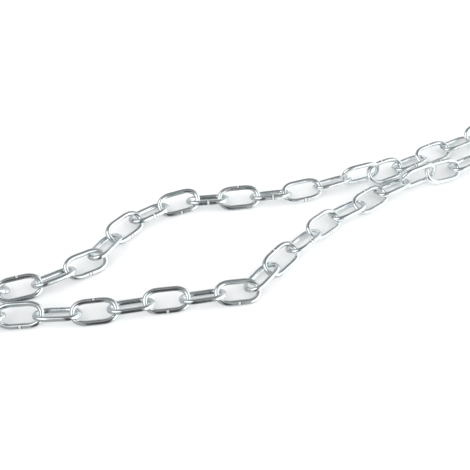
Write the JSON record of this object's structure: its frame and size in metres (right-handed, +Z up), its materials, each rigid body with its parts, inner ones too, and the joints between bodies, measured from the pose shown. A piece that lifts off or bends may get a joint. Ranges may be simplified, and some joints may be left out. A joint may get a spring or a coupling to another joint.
{
  "type": "long-link steel chain",
  "caption": "A loose length of welded long-link steel chain, zinc plated, lying folded in two runs on the floor.",
  "frame": {"origin": "on the floor, under the middle of the chain's box", "axes": "+X along the two runs, away from the fold; +Y from the near run to the far run; +Z up from the floor"},
  "size_m": [0.633, 0.3084, 0.0261],
  "materials": {
    "zinc_plating": "bright zinc plated"
  },
  "bodies": {
    "root": {"link_01": "zinc_plating", "link_02": "zinc_plating", "link_03": "zinc_plating", "link_04": "zinc_plating", "link_05": "zinc_plating", "link_06": "zinc_plating", "link_07": "zinc_plating", "link_08": "zinc_plating", "link_09": "zinc_plating", "link_10": "zinc_plating", "link_11": "zinc_plating", "link_12": "zinc_plating", "link_13": "zinc_plating", "link_14": "zinc_plating", "link_15": "zinc_plating", "link_16": "zinc_plating", "link_17": "zinc_plating", "link_18": "zinc_plating", "link_19": "zinc_plating", "link_20": "zinc_plating", "link_21": "zinc_plating", "link_22": "zinc_plating", "link_23": "zinc_plating", "link_24": "zinc_plating", "link_25": "zinc_plating", "link_26": "zinc_plating", "link_27": "zinc_plating", "link_28": "zinc_plating", "link_29": "zinc_plating", "link_30": "zinc_plating", "link_31": "zinc_plating", "link_32": "zinc_plating", "link_33": "zinc_plating", "link_34": "zinc_plating", "link_35": "zinc_plating", "link_36": "zinc_plating", "link_37": "zinc_plating", "link_38": "zinc_plating", "link_39": "zinc_plating", "link_40": "zinc_plating", "link_41": "zinc_plating", "link_42": "zinc_plating", "link_43": "zinc_plating"}
  },
  "joints": []
}
